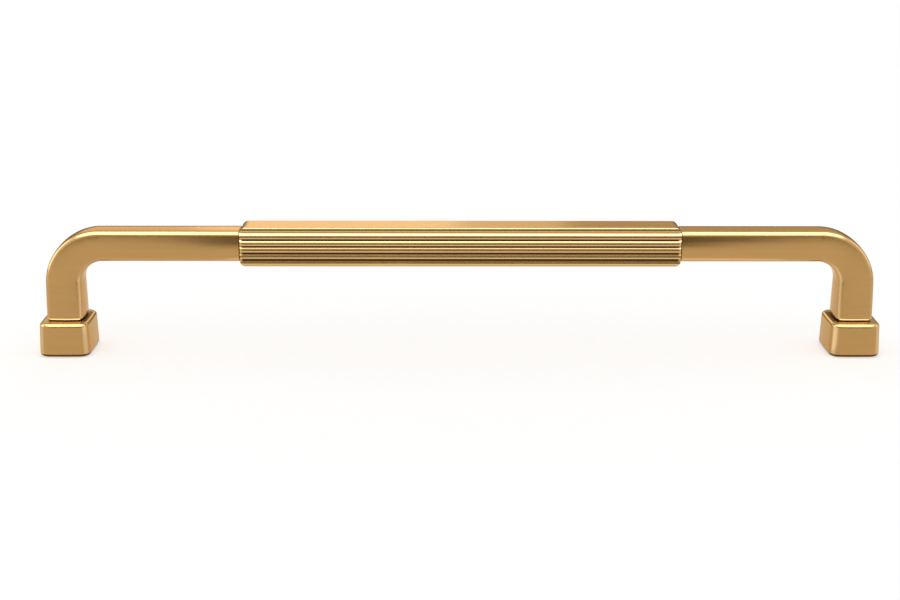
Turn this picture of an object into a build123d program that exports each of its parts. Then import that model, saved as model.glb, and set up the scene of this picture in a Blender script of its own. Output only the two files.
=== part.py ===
from build123d import *
import math
import os

# Cabinet pull. Two bent brass arms meet a reeded grip bar at the middle, and a square foot is seated
# round the stub below each leg. All sizes are in millimetres. X runs along the pull, Y across it,
# and Z away from the door or drawer front. The origin is on the mounting plane, midway between the
# two screws.

os.makedirs("parts", exist_ok=True)

# The pull as a whole
screw_spacing = 224.0
bar_projection = 35.7

# Arms: a rounded square bar with slightly crowned sides, a bend, and a leg that flares to its foot
bar_size = 9.1
bar_edge_radius = 1.5
bar_crown = 0.35
bend_radius = 10.9
bend_depth = 9.3
bend_thickness = 9.85
leg_width = 10.5
leg_depth = 10.8
leg_lower_round = 0.9
bar_end_chamfer = 0.3

# Grip bar: flat top and underside, and a row of convex reeds down each crowned side
grip_length = 123.8
grip_height = 11.3
grip_depth = 10.8
grip_edge_radius = 1.4
reed_count = 6
reed_depth = 0.3
reed_crown = 0.9
grip_end_round_length = 2.1
grip_end_round_height = 1.7
grip_end_ease_length = 0.9
grip_end_ease_depth = 0.5

# Feet: blocks with crowned sides that draw in a little towards the top
foot_width = 14.6
foot_depth = 17.5
foot_height = 9.7
foot_crown = 0.25
foot_corner_radius = 3.0
foot_draw_in = 0.3
foot_upper_round = 1.1
foot_lower_round = 1.1

# Hidden fits: a spigot in each end of the grip, a stub down through each foot, a tapped hole up it
seat_clearance = 0.05
spigot_diameter = 6.0
spigot_length = 12.0
socket_spare_depth = 0.5
stub_diameter = 8.0
stub_setback = 0.3
tapped_hole_diameter = 3.3
tapped_hole_depth = 16.0
tapped_hole_lead_in = 0.35
drill_point_angle = 118.0

# Places that follow from the sizes
leg_x = screw_spacing / 2
bend_start_x = leg_x - bend_radius
bar_z = bar_projection - bar_size / 2
grip_end_x = grip_length / 2
reed_pitch = grip_height / reed_count
reed_radius = (reed_pitch**2 / 4 + reed_depth**2) / (2 * reed_depth)
stub_length = foot_height - stub_setback
drill_point_length = tapped_hole_diameter / 2 / math.tan(math.radians(drill_point_angle / 2))


def crowned_rectangle(width, height, crown, corner_radius):
    """A rounded rectangle whose sides are arcs that stand out by the crown at their middles."""
    upper_radius = ((width / 2) ** 2 + crown**2) / (2 * crown)
    side_radius = ((height / 2) ** 2 + crown**2) / (2 * crown)
    with Locations((0, height / 2 - upper_radius)):
        Circle(upper_radius)
    with Locations((0, upper_radius - height / 2)):
        Circle(upper_radius, mode=Mode.INTERSECT)
    with Locations((width / 2 - side_radius, 0)):
        Circle(side_radius, mode=Mode.INTERSECT)
    with Locations((side_radius - width / 2, 0)):
        Circle(side_radius, mode=Mode.INTERSECT)
    fillet(vertices(), corner_radius)


# Right arm. The bend and the leg are swept along their centre line through three sections: the bar's
# where the bend starts, a stouter one halfway round it, and the leg's on top of the foot.
with BuildLine(Plane.XZ) as leg_line:
    bend = CenterArc((bend_start_x, bar_z - bend_radius), bend_radius, 90, -90)
    Line(bend @ 1, (leg_x, foot_height))
leg_path = leg_line.wire()
bend_middle = bend.length / 2 / leg_path.length

with BuildPart() as right_arm:
    with BuildSketch(Plane(leg_path @ 0, x_dir=(0, 1, 0), z_dir=leg_path % 0)):
        crowned_rectangle(bar_size, bar_size, bar_crown, bar_edge_radius)
    with BuildSketch(Plane(leg_path @ bend_middle, x_dir=(0, 1, 0), z_dir=leg_path % bend_middle)):
        crowned_rectangle(bend_depth, bend_thickness, bar_crown, bar_edge_radius)
    with BuildSketch(Plane(leg_path @ 1, x_dir=(0, 1, 0), z_dir=leg_path % 1)):
        crowned_rectangle(leg_depth, leg_width, bar_crown, bar_edge_radius)
    sweep(path=leg_path, multisection=True)
    fillet(right_arm.faces().sort_by(Axis.Z)[0].edges(), leg_lower_round)

    # The straight bar, from the bend back to its shoulder against the grip
    with BuildSketch(Plane(origin=(grip_end_x, 0, bar_z), x_dir=(0, 1, 0), z_dir=(1, 0, 0))):
        crowned_rectangle(bar_size, bar_size, bar_crown, bar_edge_radius)
    extrude(amount=bend_start_x - grip_end_x)
    chamfer(right_arm.faces().sort_by(Axis.X)[0].edges(), bar_end_chamfer)

    # Spigot for the grip's socket
    with BuildSketch(Plane(origin=(grip_end_x, 0, bar_z), z_dir=(-1, 0, 0))):
        Circle(spigot_diameter / 2)
    extrude(amount=spigot_length)

    # Stub for the foot, with the tapped hole for the mounting screw up its middle
    with BuildSketch(Plane(origin=(leg_x, 0, foot_height), z_dir=(0, 0, -1))):
        Circle(stub_diameter / 2)
    extrude(amount=stub_length)
    with Locations(Plane(origin=(leg_x, 0, stub_setback), z_dir=(0, 0, -1))):
        Hole(tapped_hole_diameter / 2, depth=tapped_hole_depth)
    with Locations((leg_x, 0, stub_setback + tapped_hole_depth)):
        Cone(
            tapped_hole_diameter / 2,
            0,
            drill_point_length,
            align=(Align.CENTER, Align.CENTER, Align.MIN),
            mode=Mode.SUBTRACT,
        )
    hole_mouth = right_arm.edges().filter_by(GeomType.CIRCLE).group_by(Axis.Z)[0].sort_by(SortBy.RADIUS)[0]
    chamfer(hole_mouth, tapped_hole_lead_in)

right_arm.part.label = "right_arm"
export_step(right_arm.part, "parts/right_arm.step")

# Left arm: the same casting at the other end
with BuildPart() as left_arm:
    mirror(right_arm.part, about=Plane.YZ)

left_arm.part.label = "left_arm"
export_step(left_arm.part, "parts/left_arm.step")


def rounded_end_outline(across, corner_length, corner_height):
    """The grip seen from its side or from above: a long rectangle with elliptical corners."""
    Rectangle(grip_length, across - 2 * corner_height)
    Rectangle(grip_length - 2 * corner_length, across)
    with GridLocations(grip_length - 2 * corner_length, across - 2 * corner_height, 2, 2):
        Ellipse(corner_length, corner_height)


# Grip bar. Its section is a core with overlapping circles down each side, which stand furthest out at
# the middle, trimmed to a rounded rectangle, so that the outermost reeds run into the flat faces.
with BuildPart() as grip_bar:
    with BuildSketch(Plane(origin=(0, 0, bar_z), x_dir=(0, 1, 0), z_dir=(1, 0, 0))):
        Rectangle(grip_depth - 2 * (reed_depth + reed_crown), grip_height)
        for reed in range(reed_count):
            reed_height = (reed + 0.5 - reed_count / 2) * reed_pitch
            drop = reed_crown * (2 * reed_height / grip_height) ** 2
            with Locations((0, reed_height)):
                with GridLocations(grip_depth - 2 * (reed_radius + drop), 0, 2, 1):
                    Circle(reed_radius)
        RectangleRounded(grip_depth, grip_height, grip_edge_radius, mode=Mode.INTERSECT)
    extrude(amount=grip_length / 2, both=True)

    # Both ends are rounded at the top and underside, and eased at the sides
    with BuildSketch(Plane(origin=(0, 0, bar_z), x_dir=(1, 0, 0), z_dir=(0, -1, 0))):
        rounded_end_outline(grip_height, grip_end_round_length, grip_end_round_height)
    extrude(amount=grip_depth, both=True, mode=Mode.INTERSECT)
    with BuildSketch(Plane(origin=(0, 0, bar_z))):
        rounded_end_outline(grip_depth, grip_end_ease_length, grip_end_ease_depth)
    extrude(amount=grip_height, both=True, mode=Mode.INTERSECT)

    # A socket in each end for an arm's spigot
    for end in (-1, 1):
        with Locations(Plane(origin=(end * grip_end_x, 0, bar_z), z_dir=(end, 0, 0))):
            Hole(spigot_diameter / 2 + seat_clearance, depth=spigot_length + socket_spare_depth)

grip_bar.part.label = "grip_bar"
export_step(grip_bar.part, "parts/grip_bar.step")

# Right foot: a rounded block bored through for the stub
with BuildPart() as right_foot:
    for height, inset in ((0, 0), (foot_height, foot_draw_in)):
        with BuildSketch(Plane(origin=(leg_x, 0, height))):
            crowned_rectangle(
                foot_width - 2 * inset, foot_depth - 2 * inset, foot_crown, foot_corner_radius
            )
    loft()
    foot_ends = right_foot.faces().sort_by(Axis.Z)
    fillet(foot_ends[0].edges(), foot_lower_round)
    fillet(foot_ends[-1].edges(), foot_upper_round)
    with Locations((leg_x, 0, foot_height)):
        Hole(stub_diameter / 2 + seat_clearance)

right_foot.part.label = "right_foot"
export_step(right_foot.part, "parts/right_foot.step")

# Left foot: the same block at the other end
with BuildPart() as left_foot:
    mirror(right_foot.part, about=Plane.YZ)

left_foot.part.label = "left_foot"
export_step(left_foot.part, "parts/left_foot.step")
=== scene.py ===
import math

import bmesh
import bpy
from mathutils import Matrix, Vector


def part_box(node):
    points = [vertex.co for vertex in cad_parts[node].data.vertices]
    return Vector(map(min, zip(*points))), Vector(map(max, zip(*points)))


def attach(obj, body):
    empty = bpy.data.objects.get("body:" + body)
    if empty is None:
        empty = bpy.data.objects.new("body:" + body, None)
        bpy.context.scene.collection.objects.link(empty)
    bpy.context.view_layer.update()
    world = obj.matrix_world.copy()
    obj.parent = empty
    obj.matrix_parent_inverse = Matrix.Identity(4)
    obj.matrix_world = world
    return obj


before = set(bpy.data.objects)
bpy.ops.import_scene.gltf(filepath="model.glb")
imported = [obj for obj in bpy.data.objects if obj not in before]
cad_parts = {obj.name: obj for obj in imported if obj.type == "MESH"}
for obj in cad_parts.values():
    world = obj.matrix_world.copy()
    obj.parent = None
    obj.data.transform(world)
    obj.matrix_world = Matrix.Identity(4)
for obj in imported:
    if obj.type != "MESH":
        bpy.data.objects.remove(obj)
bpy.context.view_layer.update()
MM = 0.001


# Arms. Each is a brass casting, ground and brushed along the bar, round the bend and across the leg,
# then lacquered. It is fixed to the grip by a spigot and to the door by one screw up the leg. Painted shade
# darkens it where it meets the grip and the foot, a painted highlight runs along the leg's lower lip, and
# its long edges are lighter, partly from wear and partly as a painted highlight.
grip_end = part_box("grip_bar")[1].x
foot_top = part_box("left_foot")[1].z
arm_colour = (0.488, 0.282, 0.099)
arm_polish_and_highlight = (1.0, 0.93, 0.8, 1)
arm_edge_wear_and_highlight = 0.08
arm_edge_sharpness = 3
lip_highlight_start = (0.15 * MM, 0.35 * MM)
lip_highlight_end = (0.6 * MM, 1.0 * MM)
foot_joint_shade_height = 0.25 * MM
grip_joint_shade_length = 0.2 * MM
grip_joint_shade = 0.7

# Brushed lines and slow, cloudy changes, which all the brass has, in changes per metre
changes_along_lines = 30
changes_across_lines = 1500
changes_of_clouds = 45

# How rich the two patterns are, and how far up a face turns where the lines on top take over
line_detail = 3
cloud_detail = 2
pattern_roughness = 0.55
top_face_slope = (0.5, 0.9)

# What the patterns and the painted shade do to the colour
grazing_tint = (0.95, 0.8, 0.62, 1)
# The colour of all painted shade on the brass
painted_shade_colour = (0.045, 0.02, 0.004, 1)
base_level = 0.83
cloud_contrast = 0.12
line_contrast = 0.22

# What they do to the surface
base_roughness = 0.2
cloud_roughness = 0.06
line_roughness = 0.12
wear_and_highlight_smoothness = 0.05
painted_shade_roughness = 0.15
line_depth = 0.005 * MM


class Shade:
    """A socket of a material. Python's operators on it add Math nodes: 1 - mask works, and a | b is
    the larger of two masks."""

    # A Mix node has sockets of several types under the same names, so its colours go by number
    COLOUR_A = 6
    COLOUR_B = 7
    COLOUR_RESULT = 2

    def __init__(self, socket):
        self.socket = socket

    def node(self, kind, settings=None, inputs=None, output=0):
        """Adds a node of that kind, sets it up, fills its sockets and returns one of its outputs."""
        made = self.socket.id_data.nodes.new(kind)
        for name, value in (settings or {}).items():
            setattr(made, name, value)
        for name, value in (inputs or {}).items():
            if isinstance(value, Shade):
                self.socket.id_data.links.new(value.socket, made.inputs[name])
            else:
                made.inputs[name].default_value = value
        return Shade(made.outputs[output])

    def math(self, operation, *others):
        return self.node("ShaderNodeMath", {"operation": operation}, dict(enumerate((self, *others))))

    def blend(self, factor, colour):
        """This colour where the factor is 0, and the other one where it is 1."""
        inputs = {"Factor": factor, self.COLOUR_A: self, self.COLOUR_B: colour}
        return self.node("ShaderNodeMix", {"data_type": "RGBA"}, inputs, self.COLOUR_RESULT)

    def between(self, low, high):
        """0 below low, 1 above high, and a smooth rise from one to the other."""
        settings = {"interpolation_type": "SMOOTHSTEP"}
        return self.node("ShaderNodeMapRange", settings, {"Value": self, "From Min": low, "From Max": high})

    def __add__(self, other):
        return self.math("ADD", other)

    def __sub__(self, other):
        return self.math("SUBTRACT", other)

    def __rsub__(self, other):
        return self.node("ShaderNodeMath", {"operation": "SUBTRACT"}, {0: other, 1: self})

    def __mul__(self, other):
        return self.math("MULTIPLY", other)

    def __pow__(self, other):
        return self.math("POWER", other)

    def __or__(self, other):
        return self.math("MAXIMUM", other)

    def __abs__(self):
        return self.math("ABSOLUTE")

    __radd__ = __add__
    __rmul__ = __mul__


def parts_of(vector, axes):
    """The vector's parts along those axes, such as "XZ"."""
    return [vector.node("ShaderNodeSeparateXYZ", {}, {0: vector}, axis) for axis in axes]


def on_the_diagonal(part):
    """1 where a surface faces 45 degrees off an axis, and 0 where it faces along or across the axis.
    The part is the surface normal's share along that axis."""
    return abs(part) * (1 - part * part).math("SQRT") * 2


def stretched_noise(place, stretch, detail):
    """Noise drawn out by a different amount along X, Y and Z, between 0 and 1."""
    scaled = place.node("ShaderNodeVectorMath", {"operation": "MULTIPLY"}, {0: place, 1: stretch})
    inputs = {"Vector": scaled, "Scale": 1.0, "Detail": detail, "Roughness": pattern_roughness}
    return place.node("ShaderNodeTexNoise", {}, inputs)


def start_brass(name):
    """A new brass material, its shader node, the place on the piece, and the way the surface faces."""
    material = bpy.data.materials.new(name)
    material.use_nodes = True
    shader = material.node_tree.nodes["Principled BSDF"]
    shader.inputs["Metallic"].default_value = 1.0
    shader.inputs["Specular Tint"].default_value = grazing_tint
    coordinates = material.node_tree.nodes.new("ShaderNodeTexCoord")
    return material, shader, Shade(coordinates.outputs["Object"]), Shade(coordinates.outputs["Normal"])


def brushing(place, face_z):
    """The lines that the brush leaves: along X on faces that look up or down, level on the others."""
    along, across = changes_along_lines, changes_across_lines
    on_top = stretched_noise(place, (along, across, along), line_detail)
    on_sides = stretched_noise(place, (along, along, across), line_detail)
    flat = abs(face_z).between(*top_face_slope)
    return on_top * flat + on_sides * (1 - flat)


def finish_brass(shader, place, lines, colour, painted_shade, wear_and_highlight, polish_and_highlight):
    """Joins up a brass material. The painted shade mask darkens it, and the wear and highlight mask turns
    it to the polish and highlight colour and makes it a little smoother."""
    clouds = stretched_noise(place, (changes_of_clouds,) * 3, cloud_detail)
    level = base_level + clouds * cloud_contrast + lines * line_contrast
    brushed = place.node("ShaderNodeVectorMath", {"operation": "SCALE"}, {0: colour, "Scale": level})
    mixed = brushed.blend(wear_and_highlight, polish_and_highlight).blend(painted_shade, painted_shade_colour)
    pattern = (clouds - 0.5) * cloud_roughness + (lines - 0.5) * line_roughness
    rough = base_roughness + pattern - wear_and_highlight * wear_and_highlight_smoothness + painted_shade * painted_shade_roughness
    bump_inputs = {"Strength": 1.0, "Distance": 1.0, "Height": lines * line_depth}
    bump = place.node("ShaderNodeBump", {}, bump_inputs)
    links = shader.id_data.links
    links.new(mixed.socket, shader.inputs["Base Color"])
    links.new(rough.socket, shader.inputs["Roughness"])
    links.new(bump.socket, shader.inputs["Normal"])


def dress(names, material):
    """Gives the named solids the material in place of their plain one."""
    for name in names:
        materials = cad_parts[name].data.materials
        materials.clear()
        materials.append(material)


arm_material, shader, place, facing = start_brass("brushed_brass_arm")
x, z = parts_of(place, "XZ")
face_y, face_z = parts_of(facing, "YZ")
above_foot = z - foot_top
# The long edges turn paler, partly from wear and partly as a painted highlight
long_edges = on_the_diagonal(face_y) ** arm_edge_sharpness
# A painted highlight along the leg's lower lip, just above the foot
lip_highlight = above_foot.between(*lip_highlight_start) * (1 - above_foot.between(*lip_highlight_end))
# Painted shade where the arm meets the grip and where it meets the foot
shade_at_grip = 1 - (abs(x) - grip_end).between(0.0, grip_joint_shade_length)
shade_at_foot = 1 - above_foot.between(0.0, foot_joint_shade_height)
finish_brass(
    shader,
    place,
    brushing(place, face_z),
    arm_colour,
    shade_at_grip * grip_joint_shade | shade_at_foot,
    long_edges * arm_edge_wear_and_highlight | lip_highlight,
    arm_polish_and_highlight,
)
dress(("left_arm", "right_arm"), arm_material)


# Screw threads. The hole up each leg is tapped for a machine screw, so a fine thread winds down its
# wall. It is cut into the same brass as the arm.
leg_centre = 112.0 * MM
hole_radius = 1.65 * MM
thread_start = 1.2 * MM
thread_pitch = 0.7 * MM
thread_depth = 0.22 * MM
thread_turns = 18
steps_per_turn = 24
ridge_height = thread_pitch * 0.84
ridge_root = hole_radius + 0.02 * MM
ridge_crest = hole_radius - thread_depth

for side, name in ((-1, "left_screw_thread"), (1, "right_screw_thread")):
    centre = Vector((side * leg_centre, 0, thread_start))
    profile = bmesh.new()
    corners = ((ridge_root, 0), (ridge_crest, ridge_height / 2), (ridge_root, ridge_height))
    ridge = profile.faces.new([profile.verts.new(centre + Vector((out, 0, up))) for out, up in corners])
    bmesh.ops.spin(
        profile,
        geom=[ridge, *ridge.edges, *ridge.verts],
        cent=centre,
        axis=(0, 0, 1),
        dvec=(0, 0, thread_pitch / steps_per_turn),
        angle=2 * math.pi * thread_turns,
        steps=steps_per_turn * thread_turns,
    )
    bmesh.ops.recalc_face_normals(profile, faces=profile.faces)
    mesh = bpy.data.meshes.new(name)
    profile.to_mesh(mesh)
    profile.free()
    mesh.materials.append(arm_material)
    thread = bpy.data.objects.new(name, mesh)
    bpy.context.scene.collection.objects.link(thread)
    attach(thread, "root")


# Grip. A drawn brass bar with a row of reeds down each side and its ends eased by hand, held by the
# arms' spigots. Fine lines run along it. Painted shade darkens its grooves, less towards the upper side
# where the light falls, and the lower reeds' tops and its end faces. Painted highlights pale the reeds'
# shoulders and crests.
grip_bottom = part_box("grip_bar")[0].z
grip_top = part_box("grip_bar")[1].z
grip_height = grip_top - grip_bottom
reed_count = 6
grip_colour = (0.48, 0.28, 0.098)
grip_polish_and_highlight = (1.0, 0.85, 0.55, 1)

# Heights up one reed, from 0 at its lower edge to 1 at its upper edge
below_reed = (0.22, 0.36)
crest_start = (0.32, 0.42)
crest_end = (0.55, 0.65)
reed_top = (0.62, 0.8)
above_reed = (0.93, 0.98)

# Heights up the whole side, from -1 at its lower edge to 1 at its upper edge
shoulder_height = (-0.15, 0.1)
shaded_height = (-0.1, 0.05)
lit_groove_height = (0.4, 0.6)
outermost_height = (0.82, 0.88)

# How far a face turns up, down or to the end
side_slope = (0.75, 0.95)
shoulder_slope = (0.3, 0.45)
end_face_slope = (0.9, 0.99)

# Distance from the middle over which the painted shade in the grooves stops
groove_shade_stop = (grip_end - 1.0 * MM, grip_end - 0.2 * MM)

# How strong each mark is, and how narrow the one round the ends
groove_light_share = 0.6
reed_top_shade = 0.7
end_face_shading = 0.5
eased_end_wear = 0.2
reed_highlight = 0.3
eased_end_sharpness = 2

material, shader, place, facing = start_brass("reeded_brass_grip")
x, z = parts_of(place, "XZ")
face_x, face_z = parts_of(facing, "XZ")
up_the_side = (z - (grip_top + grip_bottom) / 2) * (2 / grip_height)
up_the_reed = ((z - grip_bottom) * (reed_count / grip_height)).math("FRACT")
on_sides = 1 - abs(face_z).between(*side_slope)
before_the_end = 1 - abs(x).between(*groove_shade_stop)

# Painted shade in the grooves, lighter towards the upper side where the light falls
in_grooves = (1 - up_the_reed.between(*below_reed)) | up_the_reed.between(*above_reed)
in_grooves = in_grooves * (1 - abs(up_the_side).between(*outermost_height))
groove_shade_share = 1 - up_the_side.between(*lit_groove_height) * groove_light_share
# Painted shade on the tops of the lower reeds, which face away from the light
on_lower_side = 1 - up_the_side.between(*shaded_height)
shaded_tops = on_lower_side * up_the_reed.between(*reed_top) * reed_top_shade
groove_shade = (in_grooves * groove_shade_share | shaded_tops) * on_sides * before_the_end
# Painted shade on the grip's end faces, where they meet the arms
shaded_end_faces = abs(face_x).between(*end_face_slope) * end_face_shading

# Painted highlights on the reeds' shoulders and crests
shoulder_highlight = face_z.between(*shoulder_slope) * up_the_side.between(*shoulder_height) * on_sides
crest_highlight = up_the_reed.between(*crest_start) * (1 - up_the_reed.between(*crest_end)) * on_sides
eased_ends = on_the_diagonal(face_x) ** eased_end_sharpness
finish_brass(
    shader,
    place,
    brushing(place, face_z),
    grip_colour,
    groove_shade | shaded_end_faces,
    eased_ends * eased_end_wear | shoulder_highlight * reed_highlight | crest_highlight * reed_highlight,
    grip_polish_and_highlight,
)
dress(("grip_bar",), material)


# Feet. Each is a brass block, bored through, tumbled round at its corners, brushed level and pressed
# up round the stub below the leg. Painted shade darkens its top ledge, most beside the leg's inner side,
# and its down-facing rounds, where it stands for the reflected shadow. Painted highlights lighten its
# upright corners, its rim and its ledge.
leg_half_width = 5.25 * MM
leg_half_depth = 5.4 * MM
foot_colour = (0.48, 0.281, 0.098)
foot_highlight = (1.0, 0.8, 0.5, 1)
ledge_height = (foot_top - 0.12 * MM, foot_top - 0.02 * MM)
rim_height = (foot_top - 1.0 * MM, foot_top - 0.7 * MM)
inner_side = (leg_half_width - 0.9 * MM, leg_half_width - 0.5 * MM)
past_leg = (-0.8 * MM, 0.2 * MM)
corner_turn = (0.8, 1.0)
door_slope = (0.12, 0.3)

# How strong each mark is
ledge_shade = 0.4
inner_ledge_shade = 0.55
underside_shadow_reflection = 0.85
corner_highlight = 0.28
rim_highlight = 0.1
ledge_highlight = 0.3

material, shader, place, facing = start_brass("brushed_brass_foot")
x, y, z = parts_of(place, "XYZ")
face_x, face_y, face_z = parts_of(facing, "XYZ")
on_ledge = z.between(*ledge_height)
on_rim = z.between(*rim_height) * (1 - on_ledge)
# Painted shade on the ledge, most beside the leg's inner side
inward = (leg_centre - abs(x)).between(*inner_side)
beside_leg = 1 - (abs(y) - leg_half_depth).between(*past_leg)
# Painted shade on the down-facing rounds, standing in for the reflected shadow below the foot
at_door = (0 - face_z).between(*door_slope)
# Painted highlights on the upright corners, the rim and the ledge
upright_corners = (abs(face_x * face_y) * 2).between(*corner_turn)
finish_brass(
    shader,
    place,
    brushing(place, face_z),
    foot_colour,
    on_ledge * (ledge_shade + inward * beside_leg * inner_ledge_shade) | at_door * underside_shadow_reflection,
    upright_corners * corner_highlight | on_rim * rim_highlight | on_ledge * ledge_highlight,
    foot_highlight,
)
dress(("left_foot", "right_foot"), material)


# Floor and backdrop. A white paper floor that fades into white all round. It keeps the pull's soft
# shadow, and the brass mirrors it.
floor_reach = 6.0
floor_drop = 0.05 * MM
paper_grey = (0.8, 0.8, 0.8, 1)
paper_glow = 0.52
room_light = 0.6
room_glow = 0.4
white = (1, 1, 1, 1)


def matt_material(name, colour):
    """A material that doesn't shine, and its shader node."""
    material = bpy.data.materials.new(name)
    material.use_nodes = True
    shader = material.node_tree.nodes["Principled BSDF"]
    shader.inputs["Base Color"].default_value = colour
    shader.inputs["Roughness"].default_value = 1.0
    shader.inputs["Specular IOR Level"].default_value = 0.0
    return material, shader


def seen(tree):
    """1 where the thing is looked at, straight or in a reflection, and 0 where it lights other things."""
    path = tree.nodes.new("ShaderNodeLightPath")
    straight = Shade(path.outputs["Is Camera Ray"])
    mirrored = Shade(path.outputs["Is Glossy Ray"])
    through = Shade(path.outputs["Is Transmission Ray"])
    return (straight + mirrored + through).math("MINIMUM", 1.0)


floor_mesh = bpy.data.meshes.new("floor")
sheet = bmesh.new()
bmesh.ops.create_grid(sheet, x_segments=1, y_segments=1, size=floor_reach)
bmesh.ops.translate(sheet, verts=sheet.verts, vec=(0, 0, -floor_drop))
sheet.to_mesh(floor_mesh)
sheet.free()
floor = bpy.data.objects.new("floor", floor_mesh)
bpy.context.scene.collection.objects.link(floor)

paper, paper_shader = matt_material("white_paper", paper_grey)
paper_shader.inputs["Emission Color"].default_value = white
glow = seen(paper.node_tree) * paper_glow
paper.node_tree.links.new(glow.socket, paper_shader.inputs["Emission Strength"])
floor_mesh.materials.append(paper)

world = bpy.data.worlds.new("white_room")
world.use_nodes = True
bpy.context.scene.world = world
background = world.node_tree.nodes["Background"]
background.inputs["Color"].default_value = white
glow = room_light + seen(world.node_tree) * room_glow
world.node_tree.links.new(glow.socket, background.inputs["Strength"])


# Studio. A broad soft light hangs over the pull, two lower ones stand behind its left end and one stands
# at each side. Dark cards that only the brass sees give its faces their darker bands, and a small white
# card lies in front of the grip. Places and sizes are in metres.
card_colour = (1, 0.9, 0.7, 1)
black = (0, 0, 0, 1)
backdrop_distance = 0.95
backdrop_reach = 1.2


def soft_light(name, position, aim, width, height, brightness, lights_floor=False):
    """A rectangle of even light that the camera doesn't see."""
    lamp = bpy.data.lights.new(name, "AREA")
    lamp.shape = "RECTANGLE"
    lamp.size = width
    lamp.size_y = height
    lamp.energy = brightness * math.pi * width * height
    holder = bpy.data.objects.new(name, lamp)
    holder.location = position
    holder.rotation_euler = (Vector(aim) - Vector(position)).to_track_quat("-Z", "Y").to_euler()
    holder.visible_camera = False
    holder.visible_diffuse = lights_floor
    bpy.context.scene.collection.objects.link(holder)


def mirrored_card(name, corners, colour, brightness):
    """A card that only reflections see."""
    card_mesh = bpy.data.meshes.new(name)
    card = bmesh.new()
    card.faces.new([card.verts.new(corner) for corner in corners])
    card.to_mesh(card_mesh)
    card.free()
    card_material, card_shader = matt_material(name, black)
    card_shader.inputs["Emission Color"].default_value = colour
    card_shader.inputs["Emission Strength"].default_value = brightness
    card_mesh.materials.append(card_material)
    holder = bpy.data.objects.new(name, card_mesh)
    holder.visible_camera = False
    holder.visible_diffuse = False
    holder.visible_shadow = False
    bpy.context.scene.collection.objects.link(holder)


def on_floor(*corners):
    return [(x, y, 0) for x, y in corners]


def upright(reach, distance, bottom, top):
    """The corners of a card that stands across the view, as wide to the left as to the right."""
    corners = ((-reach, bottom), (reach, bottom), (reach, top), (-reach, top))
    return [(x, distance, z) for x, z in corners]


soft_light("overhead_light", (0, -0.3, 0.5), (0, -0.3, 0), 1.0, 0.8, brightness=3.4)
soft_light(
    "back_left_light", (-0.18, 0.9, 0.32), (-0.18, 0, 0.32), 0.56, 0.34, brightness=0.5, lights_floor=True
)
soft_light(
    "back_left_core", (-0.1, 0.88, 0.32), (-0.1, 0, 0.32), 0.22, 0.34, brightness=0.5, lights_floor=True
)
soft_light("left_light", (-0.8, 0.03, 0.35), (0, 0.03, 0.35), 0.5, 0.62, brightness=2.0)
soft_light("right_light", (0.8, 0.03, 0.35), (0, 0.03, 0.35), 0.5, 0.62, brightness=0.7)

front_corners = on_floor((-0.18, -0.6), (0.25, -0.6), (0.09, -0.14), (-0.09, -0.14))
near_corners = on_floor((-0.07, -0.055), (0.07, -0.055), (0.097, -0.031), (0.097, -0.006), (-0.07, -0.006))
back_corners = on_floor(
    (-backdrop_reach, backdrop_distance),
    (backdrop_reach, backdrop_distance),
    (backdrop_reach, 0.14),
    (-backdrop_reach, 0.14),
)
mirrored_card("front_card", front_corners, card_colour, 0.18)
mirrored_card("front_wall", upright(0.45, -0.6, 0, 0.14), card_colour, 0.16)
mirrored_card("near_card", near_corners, white, 1.35)
mirrored_card("back_card", upright(backdrop_reach, backdrop_distance, 0, 0.16), card_colour, 0.2)
mirrored_card("back_floor", back_corners, card_colour, 0.2)
mirrored_card("back_wall", upright(backdrop_reach, 1, 0.1, 0.6), card_colour, 0.75)


# Camera. It looks at one long side of the pull from a little above, as the photograph does. Its place
# was fitted to the pull's outline there.
photo_width = 900
focal_length_px = 1633.7
sensor_width = 36
distance = 466.7 * MM
pitch = math.radians(15.5)
yaw = math.radians(0.38)
roll = math.radians(0.13)
target = Vector((-2.89 * MM, 0, 14.56 * MM))

forward = Vector((math.sin(yaw) * math.cos(pitch), math.cos(yaw) * math.cos(pitch), -math.sin(pitch)))
level = Vector((math.cos(yaw), -math.sin(yaw), 0))
right = math.cos(roll) * level + math.sin(roll) * level.cross(forward)
upward = right.cross(forward)
turn = Matrix((right, upward, -forward)).transposed().to_4x4()

camera_data = bpy.data.cameras.new("camera")
camera_data.sensor_width = sensor_width
camera_data.lens = focal_length_px * sensor_width / photo_width
camera = bpy.data.objects.new("camera", camera_data)
camera.matrix_world = Matrix.Translation(target - forward * distance) @ turn
bpy.context.scene.collection.objects.link(camera)
bpy.context.scene.camera = camera
bpy.context.scene.view_settings.view_transform = "Standard"
